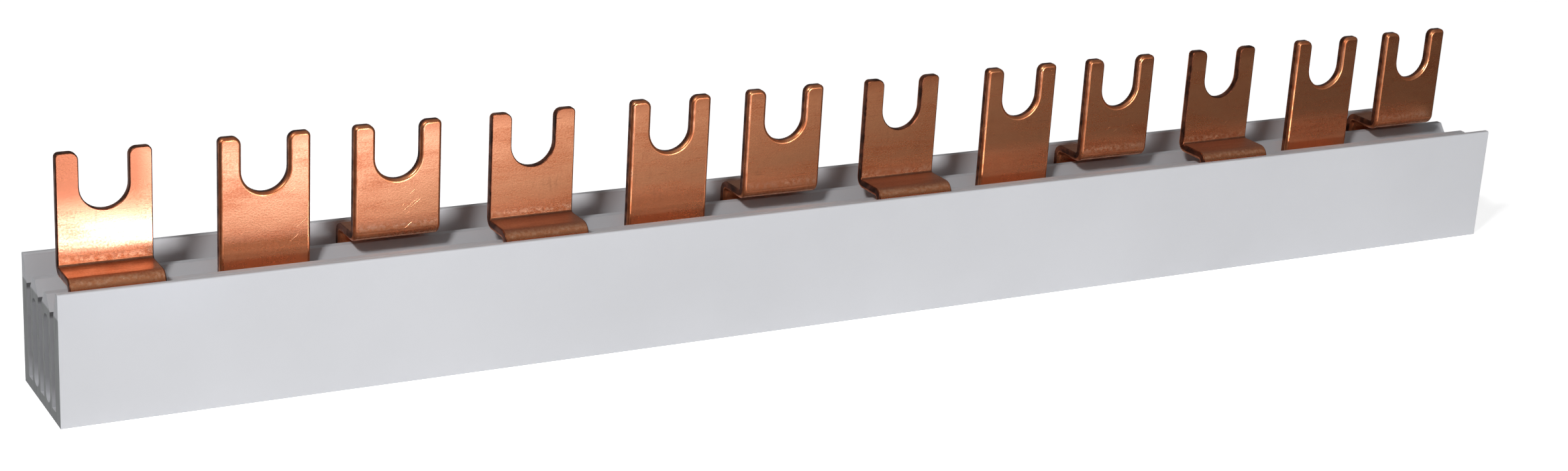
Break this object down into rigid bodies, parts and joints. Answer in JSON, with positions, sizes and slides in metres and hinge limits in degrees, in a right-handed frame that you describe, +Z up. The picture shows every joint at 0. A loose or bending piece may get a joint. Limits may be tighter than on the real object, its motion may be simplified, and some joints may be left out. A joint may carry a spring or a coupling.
{
  "type": "comb busbar",
  "caption": "Fork-type comb busbar: stamped copper bars in a slotted insulating profile, stepped so that their forks stand in line to feed a row of circuit breakers.",
  "frame": {"origin": "centre of the profile's underside, on the surface that it rests on", "axes": "+X along the row of forks, -Y towards the front wall, +Z up through the forks"},
  "size_m": [0.2136, 0.016, 0.0304],
  "materials": {
    "grey_plastic": "satin light grey extruded PVC",
    "copper": "bare rolled copper, lightly tarnished"
  },
  "bodies": {
    "root": {"insulating_profile": "grey_plastic", "front_bar": "copper", "middle_bar": "copper", "rear_bar": "copper"}
  },
  "joints": []
}
